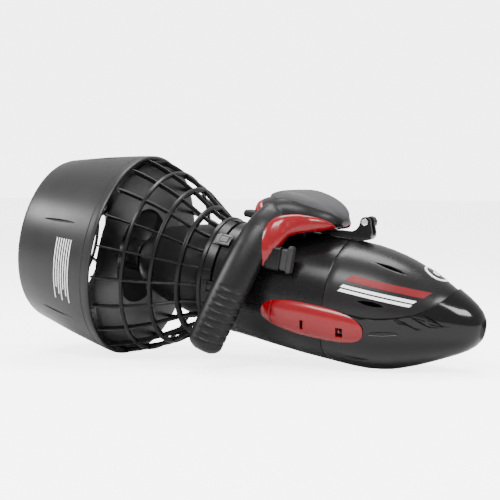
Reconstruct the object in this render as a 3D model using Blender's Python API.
"""Underwater scooter: ducted propeller, torpedo hull, removable nose, two grips.

Built in the tool frame: +X along the propeller axis to the nose, +Z up, +Y to the
rider's left, origin at the centre of the duct's front rim. The tool empty then
pitches the whole machine nose-down until the duct and the nose pad share one floor.
Lengths in the tables are millimetres.
"""

import math

import bmesh
import bpy
from mathutils import Matrix, Vector

MM = 0.001
GAP = 0.35                      # clearance between neighbouring pieces
SEGMENTS = 48                   # facets round the large turned pieces
TILT = math.radians(9.5)        # nose-down pitch when it stands on duct and nose
DUCT_RADIUS = 150.0
DUCT_LENGTH = 140.0
SEAM = 330.0                    # station where the nose leaves the hull
NOSE_TIP = 535.0
LENGTH_CENTRE = 184.95          # world X, before centring, of the middle of the length

# Station and outer radius of the hull and nose.
HULL_LINE = [(158, 78.5), (184, 79), (210, 80.5), (238, 82.5), (265, 84), (290, 85.3), (SEAM - 0.2, 86)]
NOSE_LINE = [(SEAM + 0.2, 86), (342, 86), (366, 84.8), (385, 82.6), (404, 79), (430, 71), (450, 63.5),
             (470, 54.5), (490, 44.5), (510, 33), (524, 21.5), (532, 11), (NOSE_TIP, 0)]
WALL = 3.5


def clear_scene():
    for obj in list(bpy.data.objects):
        bpy.data.objects.remove(obj)


def material(name, colour, roughness, metallic=0.0):
    mat = bpy.data.materials.new(name)
    mat.use_nodes = True
    shader = mat.node_tree.nodes["Principled BSDF"]
    shader.inputs["Base Color"].default_value = (*colour, 1.0)
    shader.inputs["Roughness"].default_value = roughness
    shader.inputs["Metallic"].default_value = metallic
    mat.diffuse_color = (*colour, 1.0)
    return mat


clear_scene()
SATIN = material("black_satin_plastic", (0.035, 0.034, 0.035), 0.42)
GLOSS = material("black_gloss_plastic", (0.012, 0.012, 0.013), 0.12)
GREY = material("grey_satin_plastic", (0.11, 0.11, 0.115), 0.45)
RED = material("red_gloss_plastic", (0.60, 0.012, 0.018), 0.22)
RUBBER = material("black_rubber", (0.02, 0.02, 0.02), 0.75)
STEEL = material("steel", (0.55, 0.55, 0.56), 0.3, 1.0)
PACK = material("battery_wrap", (0.05, 0.08, 0.16), 0.4)
BOARD = material("circuit_board", (0.02, 0.16, 0.06), 0.5)
WHITE = material("white_print", (0.75, 0.75, 0.76), 0.35)

tool = bpy.data.objects.new("tool_frame", None)
bpy.context.scene.collection.objects.link(tool)


def add_object(name, bm, mat, pivot=(0, 0, 0)):
    """Makes a piece from a mesh in millimetres, with its origin at the pivot."""
    mesh = bpy.data.meshes.new(name)
    bmesh.ops.translate(bm, verts=bm.verts, vec=-Vector(pivot))
    bmesh.ops.scale(bm, verts=bm.verts, vec=(MM, MM, MM))
    bm.to_mesh(mesh)
    bm.free()
    mesh.materials.append(mat)
    mesh.shade_smooth()
    mesh.set_sharp_from_angle(angle=math.radians(35))
    obj = bpy.data.objects.new(name, mesh)
    bpy.context.scene.collection.objects.link(obj)
    obj.parent = tool
    obj.location = Vector(pivot) * MM
    return obj


def helper(name, bm):
    """A cutter or a shape to be joined: it isn't a piece of its own."""
    obj = add_object(name, bm, SATIN)
    obj.hide_render = True
    obj.display_type = "WIRE"
    return obj


def boolean(obj, other, operation):
    mod = obj.modifiers.new(other.name, "BOOLEAN")
    mod.operation = operation
    mod.object = other
    return obj


def cut(obj, *others):
    for other in others:
        boolean(obj, other, "DIFFERENCE")
    return obj


def join(obj, *others):
    for other in others:
        boolean(obj, other, "UNION")
    return obj


def turned(profile, steps=SEGMENTS, closed=True):
    """Turns (station, radius) points about the X axis. An open profile ends on the axis."""
    bm = bmesh.new()
    half_step = math.pi / steps
    points = [bm.verts.new((s, r * math.sin(half_step), r * math.cos(half_step))) for s, r in profile]
    edges = [bm.edges.new(pair) for pair in zip(points, points[1:])]
    if closed:
        edges.append(bm.edges.new((points[-1], points[0])))
    bmesh.ops.spin(bm, geom=points + edges, axis=(1, 0, 0), cent=(0, 0, 0), angle=math.tau,
                   steps=steps, use_merge=True)
    bmesh.ops.remove_doubles(bm, verts=bm.verts, dist=1e-3)
    bmesh.ops.recalc_face_normals(bm, faces=bm.faces)
    return bm


def ring(start, end, inner, outer, steps=32):
    return turned([(start, inner), (start, outer), (end, outer), (end, inner)], steps)


def rod(start, end, radius, steps=24):
    return turned([(start, 0), (start, radius), (end, radius), (end, 0)], steps, closed=False)


def shell(line, wall):
    """A turned wall of even thickness under an outer line."""
    return turned(list(line) + [(s, r - wall) for s, r in reversed(line)])


def block(low, high):
    bm = bmesh.new()
    centre = (Vector(low) + Vector(high)) / 2
    size = Vector(high) - Vector(low)
    bmesh.ops.create_cube(bm, size=1, matrix=Matrix.Translation(centre) @ Matrix.Diagonal((*size, 1)))
    return bm


def rounded(bm, width, segments=2):
    bmesh.ops.bevel(bm, geom=bm.edges, offset=width, segments=segments, profile=0.5, affect="EDGES")
    return bm


def cross_rod(centre, radius, length, direction=(0, 1, 0), steps=20):
    """A solid rod centred on a point, along any direction."""
    bm = bmesh.new()
    turn = Vector(direction).to_track_quat("Z", "Y").to_matrix().to_4x4()
    bmesh.ops.create_cone(bm, cap_ends=True, segments=steps, radius1=radius, radius2=radius, depth=length,
                          matrix=Matrix.Translation(centre) @ turn)
    return bm


def smooth_path(points, per_span=3):
    """Points on a Catmull-Rom curve through the given points."""
    path = [Vector(p) for p in points]
    ends = [2 * path[0] - path[1], *path, 2 * path[-1] - path[-2]]
    made = []
    for before, a, b, after in zip(ends, ends[1:], ends[2:], ends[3:]):
        for i in range(per_span):
            t = i / per_span
            made.append(0.5 * (2 * a + (b - before) * t + (2 * before - 5 * a + 4 * b - after) * t ** 2
                               + (3 * a - before - 3 * b + after) * t ** 3))
    return made + [path[-1]]


def path_rings(bm, path, radii, steps, widths=None):
    """Rings of vertices round a path. widths, where given, is the half width along the Z side."""
    rings = []
    for i, point in enumerate(path):
        along = (path[min(i + 1, len(path) - 1)] - path[max(i - 1, 0)]).normalized()
        side = along.cross(Vector((0, 1, 0))).normalized()
        out = along.cross(side)
        wide = radii[i] if widths is None else widths[i]
        rings.append([bm.verts.new(point + side * wide * math.cos(math.tau * k / steps)
                                   + out * radii[i] * math.sin(math.tau * k / steps))
                      for k in range(steps)])
    return rings


def skin(bm, rings):
    steps = len(rings[0])
    for a, b in zip(rings, rings[1:]):
        for k in range(steps):
            n = (k + 1) % steps
            bm.faces.new((a[k], a[n], b[n], b[k]))


def swept(path, radii, steps=16, widths=None):
    """A closed bar along a path."""
    bm = bmesh.new()
    rings = path_rings(bm, path, radii, steps, widths)
    skin(bm, rings)
    bm.faces.new(rings[0])
    bm.faces.new(list(reversed(rings[-1])))
    bmesh.ops.recalc_face_normals(bm, faces=bm.faces)
    return bm


def spread(values, count):
    """Even samples, by straight lines, of a short list of values."""
    made = []
    for i in range(count):
        at = i * (len(values) - 1) / (count - 1)
        low = min(int(at), len(values) - 2)
        made.append(values[low] + (values[low + 1] - values[low]) * (at - low))
    return made


def lattice(rows, solid_rows, ribs, rib_width):
    """A turned grille: ribs that cross every row, and bands where a row is solid."""
    bm = bmesh.new()
    grid = []
    for s, r in rows:
        half = rib_width / 2 / r
        angles = [math.tau * (i + 0.5) / ribs + sign * half for i in range(ribs) for sign in (-1, 1)]
        grid.append([bm.verts.new((s, r * math.sin(a), r * math.cos(a))) for a in angles])
    columns = 2 * ribs
    for row in range(len(rows) - 1):
        for column in range(columns):
            if column % 2 == 1 and row not in solid_rows:
                continue
            n = (column + 1) % columns
            a, b = grid[row], grid[row + 1]
            bm.faces.new((a[column], a[n], b[n], b[column]))
    bmesh.ops.recalc_face_normals(bm, faces=bm.faces)
    return bm


def thicken(obj, thickness):
    mod = obj.modifiers.new("wall", "SOLIDIFY")
    mod.thickness = thickness * MM
    mod.offset = 0.0
    return obj


# ---- duct, guards and propeller -------------------------------------------------

def make_duct():
    outer = [(-DUCT_LENGTH, 119.5), (-136, 121.8), (-100, 130.5), (-50, 141.5), (-12, 149.2),
             (-3, DUCT_RADIUS), (0, 148.6)]
    inner = [(0, 144), (-12, 143.6), (-50, 136.5), (-100, 125.5), (-136, 117.2), (-DUCT_LENGTH, 117)]
    add_object("duct_shroud", turned(outer + inner), SATIN)


def make_rear_guard():
    station, crown = -128.0, 6.0
    outer = 116.6
    radii = [14, 22, 50, 54, 82, 86, 111, outer]
    rows = [(station - crown * (1 - r / outer), r) for r in radii]
    guard = add_object("rear_guard", lattice(rows, {0, 2, 4, 6}, 8, 4.0), SATIN)
    thicken(guard, 3.4)


def make_front_cage():
    rows = [(2.6, 146.3), (9, 144.4), (26, 140.6), (42, 135), (47, 133), (64, 125), (78, 117),
            (83, 114), (97, 104), (110, 94.5), (115, 91), (128, 83.6), (138, 80), (157, 77.2)]
    solid = {0, 3, 6, 9, 12}
    cage = add_object("front_cage", lattice(rows, solid, 20, 3.2), SATIN)
    thicken(cage, 3.6)


def make_cage_clips():
    """Snap clips that hold the cage's collar to the hull, two on each side."""
    for i, degrees in enumerate((47, 97, -97, -47)):
        angle = math.radians(degrees)
        clip = rounded(block((140, -9, 76), (170, 9, 86)), 1.2, 1)
        bmesh.ops.rotate(clip, verts=clip.verts, cent=(0, 0, 0), matrix=Matrix.Rotation(angle, 3, "X"))
        clip = add_object(f"cage_clip_{i + 1}", clip, GREY)
        cut(clip, helper(f"clip_bed_{i + 1}", turned([(130, 0), (130, 85.8), (138.2, 82.5), (158, 79.6),
                                                     (180, 79.4), (180, 0)], closed=False)))


def make_propeller():
    hub = add_object("propeller", turned([(-38, 5.4), (-38, 19), (-30, 22), (0, 24), (6, 24), (6, 5.4)], 32), SATIN)
    blade_rows = [(17, 40), (34, 50), (55, 62), (78, 72), (100, 74), (118, 66), (130, 44)]
    pitch = 190.0
    chord_parts = 5
    for n in range(3):
        bm = bmesh.new()
        grid = []
        for r, chord in blade_rows:
            twist = math.atan2(pitch, math.tau * r)
            row = []
            for k in range(chord_parts):
                along = (k / (chord_parts - 1) - 0.5) * chord
                angle = math.tau * n / 3 + along * math.cos(twist) / r
                row.append(bm.verts.new((-17 + along * math.sin(twist), r * math.sin(angle), r * math.cos(angle))))
            grid.append(row)
        for a, b in zip(grid, grid[1:]):
            for k in range(chord_parts - 1):
                bm.faces.new((a[k], a[k + 1], b[k + 1], b[k]))
        blade = thicken(helper(f"blade_{n + 1}", bm), 3.6)
        join(hub, blade)
    cut(hub, helper("hub_bore", rod(-60, 40, 5.4)))
    add_object("propeller_nut", turned([(-38.4, 5.4), (-38.4, 17), (-50, 14), (-58, 8), (-60, 5.4)], 24), STEEL)
    add_object("drive_shaft", rod(-61, 79, 5), STEEL)
    add_object("shaft_coupling", ring(36, 52, 5.4, 11, 24), STEEL)


# ---- drive and electrics inside ---------------------------------------------------

def make_drive():
    line = [(11, 24), (15, 34), (30, 46), (60, 57), (100, 66), (135, 70.5), (157.6, 72)]
    inner = [(157.6, 69), (135, 67.5), (100, 63), (60, 54), (31, 43), (17, 31), (14.5, 24), (14.5, 9.4), (11, 9.4)]
    add_object("motor_housing", turned(line + inner, 40), SATIN)
    add_object("shaft_seal", ring(10.8, 14.6, 5.3, 9, 24), RUBBER)
    add_object("shaft_bearing", ring(20, 28, 5.3, 13, 24), STEEL)
    add_object("bearing_carrier", ring(20, 28, 13.4, 31, 24), GREY)
    gearbox = turned([(80, 0), (80, 5.4), (74, 5.4), (74, 30), (104, 30), (104, 0)], 24, closed=False)
    add_object("gearbox", gearbox, GREY)
    add_object("motor", rod(104.4, 170, 36, 32), STEEL)
    add_object("motor_mount", ring(112, 117, 36.4, 62.4, 32), GREY)
    add_object("motor_end_bell", rod(170.4, 180, 28), GREY)
    add_object("bulkhead", rod(186, 190, 74.5, 32), GREY)
    add_object("controller_board", block((193, -32, -40), (195, 32, 40)), BOARD)
    add_object("heat_sink", block((190.4, -24, -26), (192.6, 24, 26)), STEEL)


def make_battery():
    pack = rounded(block((212, -48, -57), (372, 48, 28)), 5, 1)
    add_object("battery_pack", pack, PACK)
    add_object("battery_tray", block((205, -42, -62), (360, 42, -57.4)), GREY)
    add_object("battery_connector", block((200, -14, -20), (211.6, 14, 0)), GREY)


# ---- hull and nose ------------------------------------------------------------------

def hull_radius(s, grow=0.0):
    line = HULL_LINE + NOSE_LINE
    for (a, ra), (b, rb) in zip(line, line[1:]):
        if a <= s <= b:
            return ra + (rb - ra) * (s - a) / (b - a) + grow
    return line[-1][1] + grow


def make_hull():
    outer = [(158, 72.5), *HULL_LINE]
    inner = [(s, r - WALL) for s, r in reversed(HULL_LINE)]
    inner[-1] = (161.5, 75)
    add_object("main_hull", turned(outer + inner + [(161.5, 72.5)]), SATIN)
    add_object("coupling_ring", ring(SEAM - 12, SEAM + 12, 77, 79, SEGMENTS), GREY)
    add_object("hull_seal", ring(SEAM - 5, SEAM - 0.4, 79.4, 81.8, SEGMENTS), RUBBER)


# The curve on the side of the nose that parts the upper panel from the lower bumper.
PARTING = [(300, -3), (350, -6), (390, -7), (415, -4), (438, 2), (456, 10), (470, 20), (481, 31), (488, 42),
           (494, 60)]


def prism(outline, half_width):
    """A side view's (station, height) outline, pushed across the machine."""
    bm = bmesh.new()
    face = bm.faces.new([bm.verts.new((s, -half_width, z)) for s, z in outline])
    pushed = bmesh.ops.extrude_face_region(bm, geom=[face])
    verts = [v for v in pushed["geom"] if isinstance(v, bmesh.types.BMVert)]
    bmesh.ops.translate(bm, verts=verts, vec=(0, 2 * half_width, 0))
    bmesh.ops.recalc_face_normals(bm, faces=bm.faces)
    return bm


def above_parting(shift):
    """Everything above the parting curve."""
    outline = [(s - shift, z + shift) for s, z in PARTING] + [(494 - shift, 130), (300 - shift, 130)]
    return prism(outline, 130)


def floor_height():
    """How far the duct's lowest edge lies below the duct's centre, square to the floor."""
    apothem = DUCT_RADIUS * math.cos(math.pi / SEGMENTS)
    return apothem * math.cos(TILT) - 3 * math.sin(TILT)


def below_floor():
    """A slab under the floor plane, which trims a flat resting pad on the nose."""
    slab = block((-400, -200, -200), (800, 200, -floor_height()))
    bmesh.ops.rotate(slab, verts=slab.verts, cent=(0, 0, 0), matrix=Matrix.Rotation(-TILT, 3, "Y"))
    return slab


def make_nose():
    closed_line = NOSE_LINE
    inner = [(s, r - WALL) for s, r in closed_line[:-3]] + [(NOSE_TIP - 8, 0)]
    panel = add_object("nose_panel", turned(closed_line + inner[::-1], closed=True), SATIN)
    boolean(panel, helper("panel_keep", above_parting(GAP / 2)), "INTERSECT")
    bulge = [0, 0, 1.5, 3.2, 4.2, 4.5, 4, 3.2, 2.6, 2.2, 2, 1.5, 0]
    fuller = [(s, r + b) for (s, r), b in zip(NOSE_LINE, bulge)]
    bumper = add_object("nose_bumper", turned(fuller + inner[::-1], closed=True), GLOSS)
    cut(bumper, helper("bumper_cut", above_parting(-GAP / 2)), helper("floor_trim", below_floor()))
    add_object("nose_frame_ring", ring(SEAM + 2, SEAM + 14, 79.5, 81.8, SEGMENTS), GREY)
    # The badge is a thin disc that follows the panel.
    skin_line = [(s, r) for s, r in NOSE_LINE if 400 < s < 500]
    outer = [(s, r + 1.5) for s, r in skin_line]
    badge = add_object("nose_badge", turned([(s, r + 0.4) for s, r in skin_line] + outer[::-1]), WHITE)
    slope = math.atan2(71 - 54.5, 470 - 430)
    outline = cross_rod((455, 0, 62), 18, 50, (math.sin(slope), 0, math.cos(slope)), 32)
    boolean(badge, helper("badge_outline", outline), "INTERSECT")


LATCH_PIVOT = (258.0, 87.2)     # station and radius of a latch's hinge pin
LATCH_DROP = math.radians(18)   # how far round a latch sits below the machine's side
LATCH_BED = [(180, 79.9), (210, 81.2), (238, 83.2), (265, 84.7), (290, 86), (310, 86.7), (430, 86.7)]


def on_side(bm, sign):
    """Turns a shape made at +Y down to the latch's place, on the left or the right."""
    bmesh.ops.rotate(bm, verts=bm.verts, cent=(0, 0, 0), matrix=Matrix.Rotation(-LATCH_DROP, 3, "X"))
    if sign < 0:
        bmesh.ops.scale(bm, verts=bm.verts, vec=(1, -1, 1))
        bmesh.ops.reverse_faces(bm, faces=bm.faces)
    return bm


def oval():
    bm = bmesh.new()
    bmesh.ops.create_uvsphere(bm, u_segments=28, v_segments=14, radius=1)
    bmesh.ops.scale(bm, verts=bm.verts, vec=(88, 20, 28))
    bmesh.ops.translate(bm, verts=bm.verts, vec=(320, 75, 0))
    return bm


def make_latch(side, sign):
    """A long oval cover over the hull's seam, which swings out on a pin near its rear."""
    out = Vector((0, math.cos(LATCH_DROP) * sign, -math.sin(LATCH_DROP)))
    pivot = Vector((LATCH_PIVOT[0], 0, 0)) + out * LATCH_PIVOT[1]
    bed = helper(f"latch_bed_{side}", turned([(180, 0), *LATCH_BED, (430, 0)], closed=False))
    latch = add_object(f"latch_{side}", on_side(oval(), sign), RED, pivot)
    behind = block((180, 60, -60), (LATCH_PIVOT[0] - 0.2, 120, 60))
    pin_room = cross_rod((LATCH_PIVOT[0], LATCH_PIVOT[1], 0), 1.7, 70, (0, 0, 1))
    trims = [bed, helper(f"latch_rear_{side}", on_side(behind, sign)),
             helper(f"pin_room_{side}", on_side(pin_room, sign))]
    for station, width in ((306, 4), (360, 10)):
        slot = block((station - width / 2, 60, -15), (station + width / 2, 120, -2))
        trims.append(helper(f"latch_slot_{side}_{station}", on_side(slot, sign)))
    cut(latch, *trims)
    heel = add_object(f"latch_heel_{side}", on_side(oval(), sign), RED)
    ahead = block((LATCH_PIVOT[0] - 1.6, 60, -60), (430, 120, 60))
    cut(heel, bed, helper(f"latch_front_{side}", on_side(ahead, sign)))
    pin = cross_rod((LATCH_PIVOT[0], LATCH_PIVOT[1], 0), 1.3, 23, (0, 0, 1), 12)
    add_object(f"latch_pin_{side}", on_side(pin, sign), STEEL)


# ---- head, grips and triggers ---------------------------------------------------------

HEAD_STATIONS = [(180, 20, 114), (192, 38, 123), (212, 52, 130), (244, 58, 142), (270, 54, 138),
                 (287, 48, 134), (300, 38, 128.5), (309, 27, 120), (314, 13, 110)]
HEAD_FLOOR = 100.0


def head_form(grow=0.0, floor=HEAD_FLOOR):
    """The head's domed cover: rounded sections along the machine."""
    bm = bmesh.new()
    arc = 12
    rings = []
    for i, (s, half_width, top) in enumerate(HEAD_STATIONS):
        if i == 0:
            s -= grow
        if i == len(HEAD_STATIONS) - 1:
            s += grow
        points = []
        for k in range(arc + 1):
            t = math.pi * k / arc
            across = math.copysign(abs(math.cos(t)) ** 0.7, math.cos(t)) * (half_width + grow)
            points.append(bm.verts.new((s, across, floor + (top + grow - floor) * math.sin(t) ** 0.75)))
        rings.append(points)
    skin(bm, rings)
    bm.faces.new(rings[0])
    bm.faces.new(list(reversed(rings[-1])))
    bmesh.ops.recalc_face_normals(bm, faces=bm.faces)
    return bm


RIGHT_ARM = [(230, -40.4, 110), (227, -60, 101), (222, -79, 80), (214, -95, 44), (205, -109, 2),
             (196, -119, -38), (187, -127, -77)]
ARM_RADII = [14, 15, 17, 18, 14, 14, 14]     # half thickness across the machine
ARM_WIDTHS = [17, 20, 24, 25, 20, 20, 20]    # half width along the machine



def mirrored(points, sign):
    return [(s, -sign * y, z) for s, y, z in points]


def arm_form(path, grow=0.0):
    if grow:
        path = [path[0] * 2 - path[1], *path[1:]]
    radii = [r + grow for r in spread(ARM_RADII, len(path))]
    widths = [w + grow for w in spread(ARM_WIDTHS, len(path))]
    return swept(path, radii, 20, widths)


def make_head():
    cover = add_object("head_cover", head_form(), GREY)
    cut(cover, helper("head_hollow", head_form(-3.2, HEAD_FLOOR - 6)))
    for side, sign in (("left", 1), ("right", -1)):
        path = smooth_path(mirrored(RIGHT_ARM, sign), 4)
        cut(cover, helper(f"arm_room_{side}", arm_form(path, 0.5)))
    base = add_object("head_pylon", rounded(block((200, -30, 78), (266, 30, 92.4)), 2, 1), SATIN)
    bed = helper("pylon_bed", turned([(150, 0), (150, 86.6), (330, 86.6), (330, 0)], closed=False))
    cut(base, bed)
    add_object("head_floor_plate", block((200, -35, 92.8), (290, 35, 95.4)), SATIN)
    cap = rounded(block((158, -15, 88), (196, 15, 99)), 4, 2)
    cap = add_object("console_rear_cap", cap, SATIN)
    cut(cap, helper("cap_head_room", head_form(GAP, HEAD_FLOOR - GAP)))
    add_object("crossbar", cross_rod((230, 0, 110), 8, 66), STEEL)


def make_grip(side, sign):
    path = smooth_path(mirrored(RIGHT_ARM, sign), 4)
    arm = add_object(f"handle_{side}", arm_form(path), SATIN)
    start = 13
    out = (path[-1] - path[-2]).normalized()
    core = [path[start] * 2 - path[start + 1], *path[start:], path[-1] + out * 1]
    outer = path[start:] + [path[-1] + out * 7, path[-1] + out * 14]
    count = len(outer)
    swell = [1.5 * math.sin(i / (count - 1) * math.pi) for i in range(count - 2)]
    sleeve = swept(outer, [18.5 + r for r in swell] + [17.5, 11], 20,
                   [25 + r * 0.5 for r in swell] + [24, 16])
    sleeve = add_object(f"grip_{side}", sleeve, RUBBER)
    cut(sleeve, helper(f"grip_core_{side}", swept(core, [14.5] * len(core), 20, [20.5] * len(core))))
    cut(arm, helper(f"sleeve_room_{side}", sleeve_room(path, start)))
    line = smooth_path(mirrored(GUARD_LINE, sign), 3)
    fin = swept(line, spread([2, 6, 9, 11, 9, 3], len(line)), 12, spread([3, 10, 13, 14, 11, 3], len(line)))
    fin = add_object(f"finger_guard_{side}", fin, RED)
    y = -sign * TRIGGER[1]
    cut(fin, helper(f"guard_arm_room_{side}", arm_form(path, GAP)),
        helper(f"guard_head_room_{side}", head_form(GAP, HEAD_FLOOR - GAP)),
        helper(f"guard_stem_room_{side}", block((254, y - 14, 26), (300, y + 14, 78))))


def sleeve_room(path, start):
    """The step on an arm where the rubber sleeve begins: everything outside the core."""
    tube = [path[start] + (path[start] - path[start + 1]).normalized() * 0.4, *path[start + 1:],
            path[-1] + (path[-1] - path[-2]).normalized() * 8]
    bm = bmesh.new()
    outer = path_rings(bm, tube, [30] * len(tube), 20)
    inner = path_rings(bm, tube, [14.0] * len(tube), 20, [20.0] * len(tube))
    skin(bm, outer)
    skin(bm, inner)
    for loop in (0, -1):
        for k in range(20):
            n = (k + 1) % 20
            bm.faces.new((outer[loop][k], outer[loop][n], inner[loop][n], inner[loop][k]))
    bmesh.ops.recalc_face_normals(bm, faces=bm.faces)
    return bm


# The red fairing: along under the head's side, then down the front of the arm (right side).
GUARD_LINE = [(313, -38, 98), (295, -53, 98.5), (266, -68, 97), (244, -82, 86), (238, -89, 66), (239, -94, 42)]
TRIGGER = (276.0, -87.5, 52.0)  # centre of a trigger's paddle


def make_trigger(side, sign):
    s, y, z = TRIGGER[0], -sign * TRIGGER[1], TRIGGER[2]
    boss = rounded(block((232, y - 9, z - 19), (266, y + 9, z + 15)), 4, 2)
    boss = add_object(f"trigger_boss_{side}", boss, SATIN)
    path = smooth_path(mirrored(RIGHT_ARM, sign), 4)
    line = smooth_path(mirrored([*GUARD_LINE[:-1], (238.9, -94.2, 38)], sign), 3)
    fin = swept(line, spread([4, 8, 11, 13, 11, 5.5], len(line)), 12,
                spread([5, 12, 15, 16, 13, 5.5], len(line)))
    cut(boss, helper(f"boss_arm_room_{side}", arm_form(path, GAP)),
        helper(f"boss_bore_{side}", cross_rod((s + 6, y, z), 4.5, 52, (1, 0, 0))),
        helper(f"boss_guard_room_{side}", fin))
    paddle = rounded(block((s - 4, y - 7, z - 20), (s + 3, y + 7, z + 18)), 3, 2)
    trigger = add_object(f"trigger_{side}", paddle, GREY, (s, y, z))
    join(trigger, helper(f"trigger_stem_{side}", cross_rod((s - 7, y, z), 4, 12, (1, 0, 0))))


# ---- camera mount -----------------------------------------------------------------------

MOUNT_SCREW = (345.0, 113.0)
BRACKET_SIDE = [(268, 87), (345, 87), (354, 91), (357, 97), (352.2, 113), (338, 113), (334, 102), (326, 97), (310, 95),
                (292, 92.4), (268, 92.4)]


def make_camera_mount():
    bracket = add_object("camera_bracket", prism(BRACKET_SIDE, 12), GLOSS)
    for side in (-1, 1):
        join(bracket, helper(f"prong_eye_{side}", cross_rod((MOUNT_SCREW[0], side * 7.5, MOUNT_SCREW[1]), 7.5, 5.6,
                                                            steps=24)))
    cut(bracket, helper("bracket_gap", block((320, -4.4, 96.5), (380, 4.4, 130))),
        helper("left_shoulder", block((325, 10.3, 96), (380, 20, 130))),
        helper("right_shoulder", block((325, -20, 96), (380, -10.3, 130))))
    s, z = MOUNT_SCREW
    cut(bracket, helper("screw_hole", cross_rod((s, 0, z), 2.8, 60)))
    screw = add_object("mount_screw", cross_rod((s, 1, z), 2.4, 26), STEEL, (s, 0, z))
    join(screw, helper("screw_knob", cross_rod((s, 14.6, z), 8.5, 8, steps=14)))
    add_object("mount_nut", turned_nut(s, z), STEEL)


def turned_nut(s, z):
    nut = ring(-1.8, 1.8, 2.9, 5.2, 6)
    bmesh.ops.rotate(nut, verts=nut.verts, cent=(0, 0, 0), matrix=Matrix.Rotation(math.pi / 2, 3, "Z"))
    bmesh.ops.translate(nut, verts=nut.verts, vec=(s, -12.1, z))
    return nut


def main():
    make_duct()
    make_rear_guard()
    make_front_cage()
    make_cage_clips()
    make_propeller()
    make_drive()
    make_battery()
    make_hull()
    make_nose()
    make_head()
    for side, sign in (("left", 1), ("right", -1)):
        make_latch(side, sign)
        make_grip(side, sign)
        make_trigger(side, sign)
    make_camera_mount()
    tool.rotation_euler = (0, TILT, 0)
    tool.location = (-LENGTH_CENTRE * MM, 0, floor_height() * MM)


main()
